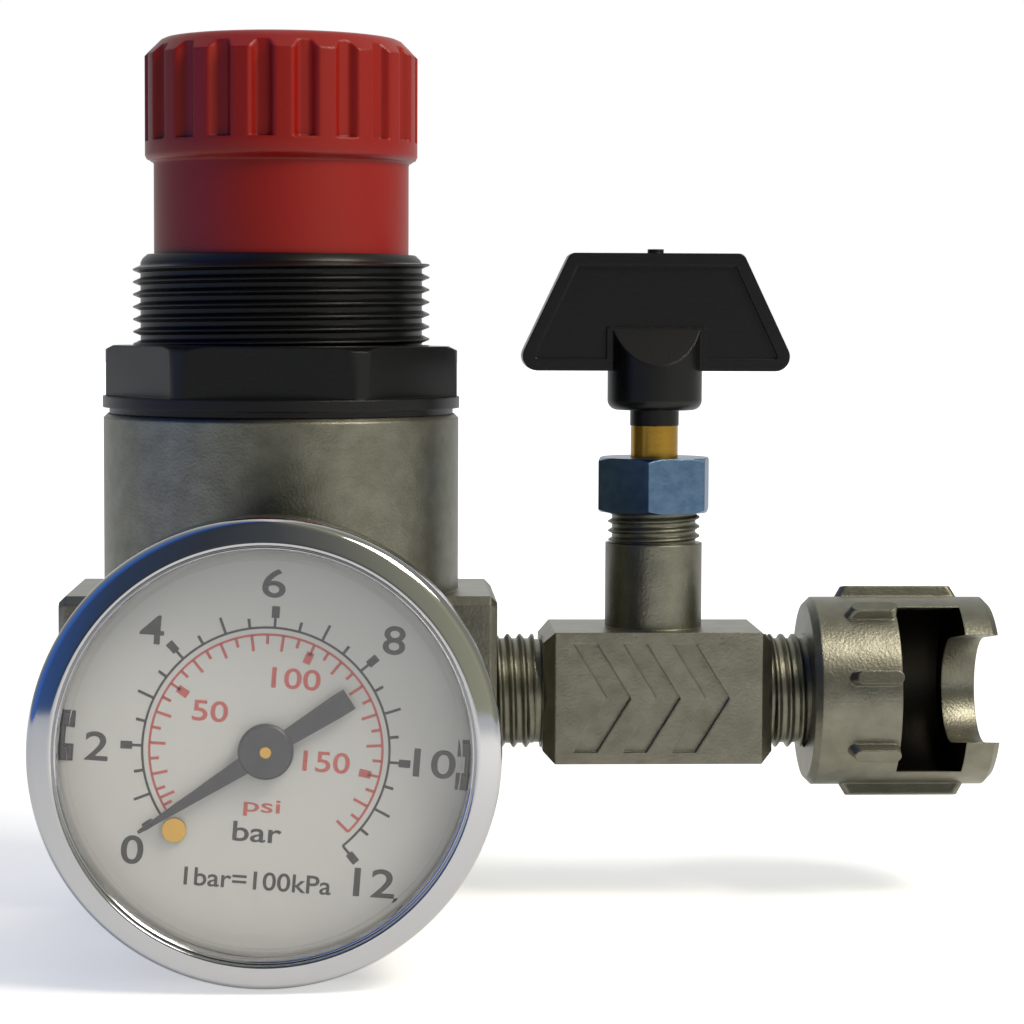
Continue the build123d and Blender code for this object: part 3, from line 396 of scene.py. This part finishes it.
shader.inputs["Emission Color"].default_value = (1.0, 1.0, 1.0, 1.0)
print("floor height in mm:", round((cad_low.z - FLOOR_GAP) / MM, 2))

# %% [markdown]
# ## Making new pieces
# A bmesh is Blender's own workbench for a mesh. Everything here is drawn on it in millimetres,
# round the +Z axis, and turned to its own axis at the end. Round pieces start as a chain of
# points, which Spin turns. A finished piece keeps its place in its mesh, rides on the body it
# belongs to, and stands for the solid that it replaces.

# %% Helpers for turned pieces
ALONG_GAUGE = Matrix.Translation((0, 0, PORT_HEIGHT)) @ Matrix.Rotation(math.radians(90), 4, "X")
ALONG_PORT = Matrix.Translation((0, 0, PORT_HEIGHT)) @ Matrix.Rotation(math.radians(90), 4, "Y")


def chain(bm, points, closed=True):
    """Join (radius, height) points in millimetres with edges, and give all of that geometry."""
    corners = [bm.verts.new((radius, 0.0, height)) for radius, height in points]
    pairs = list(zip(corners, corners[1:])) + ([(corners[-1], corners[0])] if closed else [])
    return corners + [bm.edges.new(pair) for pair in pairs]


def turned(points, steps=128, closed=True):
    """Spin an outline of (radius, height) points once round +Z."""
    bm = bmesh.new()
    outline = chain(bm, points, closed)
    bmesh.ops.spin(
        bm, geom=outline, cent=(0, 0, 0), axis=(0, 0, 1), angle=math.tau, steps=steps, use_merge=True
    )
    bmesh.ops.remove_doubles(bm, verts=bm.verts, dist=0.001)
    return bm


def shade_by_area(mesh, sharp):
    """Shade each corner by the large faces round it, and keep edges crisp from an angle on."""
    around = [[] for _ in mesh.vertices]
    for face in mesh.polygons:
        for corner in face.vertices:
            around[corner].append((face.normal.copy(), face.area))
    limit = math.cos(math.radians(sharp))
    normals = []
    for face in mesh.polygons:
        for corner in face.vertices:
            near = [side * area for side, area in around[corner] if side.dot(face.normal) > limit]
            normals.append(sum(near, Vector()).normalized())
    mesh.normals_split_custom_set(normals)


def finish_piece(bm, name, materials, body, matrix=None, replaced=(), sharp=35):
    """Turn a bmesh in millimetres into a piece of the part, with its place in its mesh."""
    if matrix:
        bmesh.ops.transform(bm, matrix=matrix, verts=bm.verts)
    bmesh.ops.scale(bm, vec=(MM, MM, MM), verts=bm.verts)
    bmesh.ops.recalc_face_normals(bm, faces=bm.faces)
    mesh = bpy.data.meshes.new(name)
    bm.to_mesh(mesh)
    bm.free()
    shade_by_area(mesh, sharp)
    for material in materials:
        mesh.materials.append(material)
    piece = bpy.data.objects.new(name, mesh)
    bpy.context.scene.collection.objects.link(piece)
    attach(piece, body)
    if replaced:
        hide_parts(*replaced)
    print(name, "faces:", len(mesh.polygons), "size in mm:", [round(v / MM, 1) for v in piece.dimensions])
    return piece


# %% [markdown]
# ## Threads
# A thread is one small ridge that climbs a helix. Spin does that too when it is told to rise a
# little at each step. The climbing strip touches itself after each turn, so merging its doubles
# gives one skin. Two planes then cut it square, and rings close its ends.

# %% A helper for threads
def ring_edges(bm, radius, height, steps):
    """Draw a circle round +Z and give its edges."""
    place = Matrix.Translation((0, 0, height))
    made = bmesh.ops.create_circle(bm, segments=steps, radius=radius, matrix=place)
    return list({edge for corner in made["verts"] for edge in corner.link_edges})


def open_rim(bm, height):
    """Give the open edges that lie at one height."""
    flat = [e for e in bm.edges if e.is_boundary]
    return [e for e in flat if all(abs(v.co.z - height) < 0.001 for v in e.verts)]


def thread(root, crest, pitch, low, high, first_ring, last_ring, steps=72, shift=0.0):
    """Wind a thread from low to high and close it over rings of (radius, height) at each end."""
    bm = bmesh.new()
    foot = low - 2 * pitch + shift
    ridge = [(root, 0.0), (root, 0.18), (crest, 0.42), (crest, 0.54), (root, 0.82), (root, 1.0)]
    outline = chain(bm, [(r, foot + share * pitch) for r, share in ridge], closed=False)
    turns = math.ceil((high - low) / pitch) + 4
    bmesh.ops.spin(
        bm,
        geom=outline,
        cent=(0, 0, 0),
        axis=(0, 0, 1),
        dvec=(0, 0, pitch / steps),
        angle=math.tau * turns,
        steps=steps * turns,
    )
    bmesh.ops.remove_doubles(bm, verts=bm.verts, dist=0.004)
    for height, up in ((low, -1), (high, 1)):
        bmesh.ops.bisect_plane(
            bm,
            geom=bm.verts[:] + bm.edges[:] + bm.faces[:],
            plane_co=(0, 0, height),
            plane_no=(0, 0, up),
            clear_outer=True,
        )
    inner = []
    for height, rings in ((low, first_ring), (high, last_ring)):
        rim = open_rim(bm, height)
        for radius, ring_height in rings:
            circle = ring_edges(bm, radius, ring_height, steps)
            bmesh.ops.bridge_loops(bm, edges=rim + circle)
            rim = circle
        inner.append(rim)
    bmesh.ops.bridge_loops(bm, edges=inner[0] + inner[1])
    return bm


# %% [markdown]
# ## The panel neck
# The bonnet carries a 36 mm thread with a pitch of 1.5 mm, so that a ring nut can clamp the
# regulator in a panel. The model has it as a plain cylinder. Its hexagon and collar are right,
# so the new piece starts from a copy of the solid, cut off just above the hexagon, and the
# wound thread is joined on, with a tapered start at the top.

# %% Bonnet with its thread
def copy_solid(node):
    """Copy a node's own shape into a bmesh in millimetres, with its loose triangles merged."""
    bm = bmesh.new()
    bm.from_mesh(nodes[node].data)
    bmesh.ops.scale(bm, vec=(1 / MM, 1 / MM, 1 / MM), verts=bm.verts)
    bmesh.ops.remove_doubles(bm, verts=bm.verts, dist=0.002)
    return bm


def cut(bm, place, outward):
    """Cut everything off beyond a plane and give the open edges that this leaves."""
    plane_no = Vector(outward)
    bmesh.ops.bisect_plane(
        bm,
        geom=bm.verts[:] + bm.edges[:] + bm.faces[:],
        plane_co=place,
        plane_no=plane_no,
        clear_outer=True,
    )
    rim = [e for e in bm.edges if e.is_boundary]
    return [e for e in rim if all(abs((v.co - Vector(place)).dot(plane_no)) < 0.001 for v in e.verts)]


def join(bm, other, matrix=None):
    """Add another bmesh to this one, as a part of the same piece."""
    if matrix:
        bmesh.ops.transform(other, matrix=matrix, verts=other.verts)
    bmesh.ops.recalc_face_normals(other, faces=other.faces)
    passing = bpy.data.meshes.new("passing")
    other.to_mesh(passing)
    other.free()
    bm.from_mesh(passing)
    bpy.data.meshes.remove(passing)


NECK_ROOT, NECK_CREST, NECK_BORE, NECK_TOP = 17.1, 18.0, 15.8, 11.0
bonnet = copy_solid("bonnet")
stub = cut(bonnet, (0, 0, 0.12), (0, 0, 1))
bmesh.ops.bridge_loops(bonnet, edges=stub)
neck = thread(
    NECK_ROOT,
    NECK_CREST,
    1.5,
    0.05,
    10.0,
    [(NECK_BORE, 0.05)],
    [(NECK_ROOT, 10.02), (NECK_ROOT - 0.25, 10.5), (16.3, NECK_TOP), (NECK_BORE, NECK_TOP)],
    steps=96,
    shift=0.1,
)
join(bonnet, neck)
finish_piece(bonnet, "bonnet_threaded", [acetal], "regulator", replaced=["bonnet"])

# %% [markdown]
# ## The knob
# The knob's crown has twenty rounded flutes for the fingers. They start as a spun wall, whose
# rings are then pressed in beneath each flute, as a soft die would. The flutes end sharply
# above the rim, and run out through the bevelled top.

# %% Knob with rounded flutes
SKIRT_R, SKIRT_FOOT, HEAD_R, HEAD_LOW, HEAD_HIGH, HEAD_EDGE = 15.45, -5.0, 16.5, 22.2, 37.0, 0.7
CROWN, FLUTE_LOW, FLUTE_DEPTH, FLUTE_ANGLE, FLUTE_TURN = 2.2, 24.5, 1.0, 18.0, 6.2
KNOB_BORE, BOSS_R, BOSS_FOOT, ROOF = 12.45, 5.0, 20.0, 3.6
wall = [(HEAD_R, z) for z in (HEAD_LOW + HEAD_EDGE, 24.4, FLUTE_LOW, 24.62, HEAD_HIGH - CROWN)]
crown = [(HEAD_R - d, HEAD_HIGH - CROWN + d) for d in (0.15, 0.4, 0.6, 0.8, 0.92, 1.0, 1.1, 1.4, 1.9)]
knob = turned(
    [(KNOB_BORE, SKIRT_FOOT), (SKIRT_R, SKIRT_FOOT), (SKIRT_R, HEAD_LOW - 0.35), (SKIRT_R + 0.1, HEAD_LOW - 0.1),
     (SKIRT_R + 0.35, HEAD_LOW), (HEAD_R - HEAD_EDGE, HEAD_LOW + 0.05), (HEAD_R - 0.2, HEAD_LOW + 0.3)]
    + wall + crown
    + [(HEAD_R - CROWN - 0.2, HEAD_HIGH - 0.08), (HEAD_R - CROWN - 0.8, HEAD_HIGH), (0.0, HEAD_HIGH),
       (0.0, BOSS_FOOT), (BOSS_R, BOSS_FOOT), (BOSS_R, HEAD_HIGH - ROOF), (KNOB_BORE, HEAD_HIGH - ROOF)],
    steps=480,
)
for corner in knob.verts:
    radius = math.hypot(corner.co.x, corner.co.y)
    if radius < HEAD_R - 1.5 or corner.co.z < FLUTE_LOW + 0.01:
        continue
    angle = math.degrees(math.atan2(corner.co.y, corner.co.x)) + FLUTE_TURN + 90
    off = abs((angle + FLUTE_ANGLE / 2) % FLUTE_ANGLE - FLUTE_ANGLE / 2)
    open_share = min(1.0, max(0.0, (5.6 - off) / 3.4))
    pressed = FLUTE_DEPTH * open_share * open_share * (3 - 2 * open_share)
    if radius > HEAD_R - pressed:
        corner.co.xy *= (HEAD_R - pressed) / radius
finish_piece(knob, "knob_moulded", [red_nylon], "knob", replaced=["knob"], sharp=40)

# %% [markdown]
# ## The valve block
# Its casting has a threaded nipple on each side and a threaded stem on top, which the gland nut
# is screwed onto. The block with its three arrow recesses is right in the model, so a copy of
# it is cut where each thread begins, the cuts are closed, and threads are wound there instead.

# %% Valve block with its threads
VALVE_X = 45.7
BLOCK_START, BLOCK_END, SPIGOT_END, NIPPLE_START = 31.8, 59.7, 73.0, 14.3
PORT_ROOT, PORT_CREST, PORT_BORE, PORT_PITCH = 6.45, 7.0, 3.6, 1.5
STEM_ROOT, STEM_CREST, STEM_BORE, STEM_PITCH = 5.15, 5.65, 4.3, 1.15
STEM_START, STEM_END = 18.4, 27.2

block = copy_solid("valve_block")
for place, outward in (
    ((BLOCK_START - 0.05, 0, 0), (-1, 0, 0)),
    ((BLOCK_END + 0.05, 0, 0), (1, 0, 0)),
    ((0, 0, PORT_HEIGHT + STEM_START - 0.02), (0, 0, 1)),
):
    bmesh.ops.bridge_loops(block, edges=cut(block, place, outward))
port_rings = [(PORT_BORE, BLOCK_START - 0.02)]
nipple = thread(
    PORT_ROOT, PORT_CREST, PORT_PITCH, NIPPLE_START, BLOCK_START - 0.9,
    [(PORT_ROOT - 0.6, NIPPLE_START), (PORT_BORE, NIPPLE_START)],
    [(PORT_ROOT - 0.1, BLOCK_START - 0.88), (PORT_ROOT - 0.1, BLOCK_START), (PORT_BORE, BLOCK_START)],
)
spigot = thread(
    PORT_ROOT, PORT_CREST, PORT_PITCH, BLOCK_END + 0.5, SPIGOT_END,
    [(PORT_ROOT - 0.1, BLOCK_END + 0.48), (PORT_ROOT - 0.1, BLOCK_END), (PORT_BORE, BLOCK_END)],
    [(PORT_ROOT - 0.2, SPIGOT_END), (PORT_BORE, SPIGOT_END)],
)
stem = thread(
    STEM_ROOT, STEM_CREST, STEM_PITCH, STEM_START + 0.3, STEM_END,
    [(STEM_ROOT, STEM_START + 0.28), (STEM_ROOT, STEM_START - 0.1), (STEM_BORE, STEM_START - 0.1)],
    [(STEM_ROOT - 0.2, STEM_END), (STEM_BORE, STEM_END)],
)
join(block, nipple, ALONG_PORT)
join(block, spigot, ALONG_PORT)
join(block, stem, Matrix.Translation((VALVE_X, 0, PORT_HEIGHT)))
finish_piece(block, "valve_block_threaded", [zinc], "regulator", replaced=["valve_block"])

# %% [markdown]
# ## The bezel and the window
# The bezel is a ring of thin brass, pressed and then rolled over the case. Its bright look is in
# its curves: a round outer edge, a fine groove, a wide face that falls in towards the window
# and a thin raised lip. The window has a shallow step near its rim, which draws a second line.

# %% Bezel and window
CASE_R, BEZEL_R = 23.9, 25.0
bezel = turned(
    [
        (CASE_R, 47.4), (24.7, 47.4), (BEZEL_R, 47.7), (BEZEL_R, 53.1), (24.93, 53.5),
        (24.75, 53.85), (24.5, 54.1), (24.2, 54.27), (22.75, 54.86), (22.5, 54.93), (22.3, 54.9),
        (22.2, 54.8), (22.16, 54.6), (22.1, 54.5), (22.02, 54.55), (21.92, 54.58), (21.8, 54.5),
        (21.7, 54.3), (21.6, 53.9), (21.6, 53.02), (CASE_R, 53.02),
    ],
    steps=192,
)
finish_piece(bezel, "bezel_rolled", [chrome], "regulator", ALONG_GAUGE, ["gauge_bezel"], sharp=50)

window = turned(
    [
        (0.0, 51.52), (23.7, 51.52), (23.8, 51.62), (23.8, 52.9), (23.7, 52.98), (21.0, 52.98),
        (20.75, 53.12), (20.5, 53.2), (0.0, 53.2),
    ],
    steps=128,
    closed=False,
)
window_piece = finish_piece(window, "window_moulded", [acrylic], "regulator", ALONG_GAUGE, ["gauge_window"])
window_piece.visible_shadow = False

# %% [markdown]
# ## The printed dial
# The dial is screen printed: a black scale in bar outside, a red one in psi inside. The marks
# lie at even angles above 1 bar, and the first bar is squeezed, because such a tube hardly
# moves at low pressure. Each mark is a flat bar, turned about the dial's middle, and the
# numbers are text in Blender's own font, made a mesh and scaled to the height they have.
# The print is drawn in the XY plane of the dial, looking at it from the front.

# %% Scale marks and arcs
DIAL_FRONT = 49.4
INK = 0.02
DIAL_TURN = -4.5
black_ink, tree, shader = new_material("black_ink_printed", "0E0E10", 0.0, 0.5)
red_ink, tree, shader = new_material("red_ink_printed", "A8463E", 0.0, 0.5)


def bar_angle(pressure):
    """Give a pressure's angle on the dial, in degrees clockwise from the top."""
    if pressure < 1:
        return -122.4 + 11.9 * pressure
    return -110.5 + 22.92 * (pressure - 1)


def add_mark(bm, angle, start, end, width):
    """Add a flat bar from one radius to another, at an angle clockwise from the top."""
    turn = Matrix.Rotation(math.radians(-angle), 4, "Z")
    size = Matrix.Diagonal((width / 2, (end - start) / 2, 1, 1))
    place = turn @ Matrix.Translation((0, (start + end) / 2, 0)) @ size
    bmesh.ops.create_grid(bm, x_segments=1, y_segments=1, size=1.0, matrix=place)


def add_arc(bm, radius, width, start, end):
    """Add a flat arc between two angles clockwise from the top, by spinning one short edge."""
    first = Matrix.Rotation(math.radians(-start), 4, "Z")
    ends = [bm.verts.new(first @ Vector((0, radius + side * width / 2, 0))) for side in (-1, 1)]
    edge = bm.edges.new(ends)
    bmesh.ops.spin(
        bm, geom=ends + [edge], cent=(0, 0, 0), axis=(0, 0, 1),
        angle=-math.radians(end - start), steps=120,
    )


black_print = bmesh.new()
BLACK_ARC, RED_ARC = 13.1, 12.35
add_arc(black_print, BLACK_ARC, 0.26, bar_angle(0), bar_angle(12))
for number in range(25):
    pressure = number / 2
    angle = bar_angle(pressure)
    if number % 4 == 0:
        add_mark(black_print, angle, BLACK_ARC, BLACK_ARC + 1.3, 0.3)
        add_mark(black_print, angle, BLACK_ARC + 1.05, BLACK_ARC + 2.3, 0.84)
    elif number % 2 == 0:
        add_mark(black_print, angle, BLACK_ARC, BLACK_ARC + 1.85, 0.3)
    elif number > 1:
        add_mark(black_print, angle, BLACK_ARC, BLACK_ARC + 1.05, 0.32)

red_print = bmesh.new()
PSI_PER_BAR = 14.504
add_arc(red_print, RED_ARC, 0.26, bar_angle(0), bar_angle(170 / PSI_PER_BAR))
for number in range(35):
    angle = bar_angle(5 * number / PSI_PER_BAR)
    if number % 10 == 0:
        add_mark(red_print, angle, RED_ARC - 1.3, RED_ARC, 0.3)
        add_mark(red_print, angle, RED_ARC - 2.2, RED_ARC - 0.9, 0.84)
    elif number % 2 == 0:
        add_mark(red_print, angle, RED_ARC - 1.7, RED_ARC, 0.32)
    else:
        add_mark(red_print, angle, RED_ARC - 1.0, RED_ARC, 0.32)
print("marks:", len(black_print.faces), "black faces and", len(red_print.faces), "red ones")

# %% [markdown]
# The numbers stand round the scale, each upright on a dial that is itself turned a little.

# %% Numbers and units
def add_text(bm, words, place, width, height, weight=0.012):
    """Write words with a width and a height in millimetres, centred on a place on the dial."""
    curve = bpy.data.curves.new("lettering", "FONT")
    curve.body = words
    curve.offset = weight
    curve.resolution_u = 6
    lettering = bpy.data.objects.new("lettering", curve)
    mesh = bpy.data.meshes.new_from_object(lettering)
    bpy.data.objects.remove(lettering)
    bpy.data.curves.remove(curve)
    x_values, y_values = [v.co.x for v in mesh.vertices], [v.co.y for v in mesh.vertices]
    middle = Vector((-(max(x_values) + min(x_values)) / 2, -(max(y_values) + min(y_values)) / 2, 0))
    wide = width / (max(x_values) - min(x_values))
    tall = height / (max(y_values) - min(y_values))
    mesh.transform(
        Matrix.Translation((*place, 0))
        @ Matrix.Rotation(math.radians(DIAL_TURN), 4, "Z")
        @ Matrix.Diagonal((wide, tall, 1, 1))
        @ Matrix.Translation(middle)
    )
    bm.from_mesh(mesh)
    bpy.data.meshes.remove(mesh)


for words, place, width in (
    ("0", (-14.2, -10.6), 2.4), ("2", (-17.9, 0.5), 2.5), ("4", (-12.0, 12.9), 2.6),
    ("6", (0.9, 17.8), 2.5), ("8", (13.6, 11.7), 2.4), ("10", (17.9, -1.5), 4.5),
    ("12", (11.5, -14.3), 4.4),
):
    add_text(black_print, words, place, width, 3.1)
add_text(black_print, "bar", (-0.95, -8.8), 5.2, 2.15)
add_text(black_print, "1bar=100kPa", (-0.9, -14.0), 15.7, 2.0)
for words, place, width in (("50", (-5.9, 4.2), 3.8), ("100", (3.2, 7.6), 5.2), ("150", (6.4, -1.3), 5.0)):
    add_text(red_print, words, place, width, 2.25)
add_text(red_print, "psi", (-0.45, -6.2), 3.9, 1.9)

for bm, name, ink in ((black_print, "dial_print_black", black_ink), (red_print, "dial_print_red", red_ink)):
    bmesh.ops.recalc_face_normals(bm, faces=bm.faces)
    down = [face for face in bm.faces if face.normal.z < 0]
    bmesh.ops.reverse_faces(bm, faces=down)
    piece = finish_piece(bm, name, [ink], "regulator", ALONG_GAUGE @ Matrix.Translation((0, 0, DIAL_FRONT + INK)))

# %% [markdown]
# ## The coupling nut
# The nut's outer ribs run out at a slant, so that the die lets them go. Its inside gets a painted
# shade: a dark zinc that stands in for the shadow in the chamber. The piece starts from a copy of
# the solid. The outermost corners at the ends of the ribs are moved inwards, and the faces inside
# the chamber get the dark painted-shade finish.

# %% Coupling nut with slanted ribs
RIB_START, RIB_END, RIB_TOP = 68.5, 83.9, 12.9
CHAMBER_START, CHAMBER_END, CHAMBER_R = 74.9, 82.9, 10.05
# A dark zinc for the chamber's faces: painted shade, standing in for the shadow inside the nut.
painted_shade_zinc, tree, shader = new_material("die_cast_zinc_painted_shade", "2E2C28", 1.0, 0.45)
roughen(tree, shader, grain(tree, 0.5), 0.03)


def from_axis(place):
    """Give a place's distance from the valve's axis, in millimetres."""
    return math.hypot(place.y, place.z - PORT_HEIGHT)


nut = copy_solid("coupling_nut")
for corner in nut.verts:
    if from_axis(corner.co) > RIB_TOP and corner.co.x < RIB_START + 0.9:
        corner.co.x += 0.8
    elif from_axis(corner.co) > RIB_TOP and corner.co.x > RIB_END - 0.9:
        corner.co.x -= 0.8
# The faces inside the chamber take the dark zinc, a painted shade.
for face in nut.faces:
    middle = face.calc_center_median()
    if CHAMBER_START - 0.1 < middle.x < CHAMBER_END + 0.1 and from_axis(middle) < CHAMBER_R:
        face.material_index = 1
finish_piece(nut, "coupling_nut_cast", [zinc, painted_shade_zinc], "coupling", replaced=["coupling_nut"])

# %% [markdown]
# Last, the view layer is brought up to date.

# %% Finish
bpy.context.view_layer.update()
